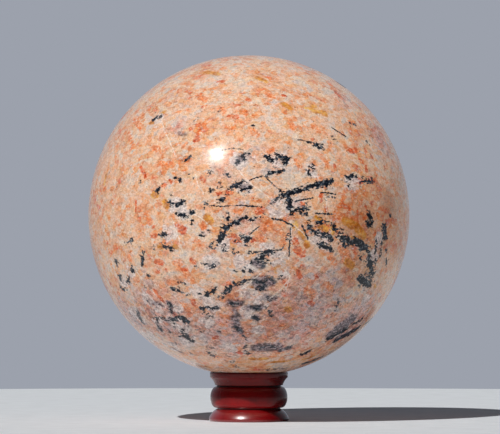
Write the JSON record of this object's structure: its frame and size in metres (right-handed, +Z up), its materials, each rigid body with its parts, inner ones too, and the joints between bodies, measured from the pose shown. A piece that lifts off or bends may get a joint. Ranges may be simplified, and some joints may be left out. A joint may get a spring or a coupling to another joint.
{
  "type": "polished iolite sunstone ball on a wooden stand",
  "caption": "Polished ball of speckled iolite sunstone resting in the shallow dish of a small turned, red-lacquered wooden stand; a display piece.",
  "frame": {"origin": "middle of the stand's flat base, on the surface that it stands on", "axes": "+Z up along the stand's turned axis and through the ball's centre; -Y is the side seen in the picture"},
  "size_m": [0.23, 0.23, 0.2619],
  "materials": {
    "sunstone": "polished",
    "lacquered_wood": "gloss red lacquer"
  },
  "bodies": {
    "root": {"sunstone_ball": "sunstone", "wooden_stand": "lacquered_wood"}
  },
  "joints": []
}
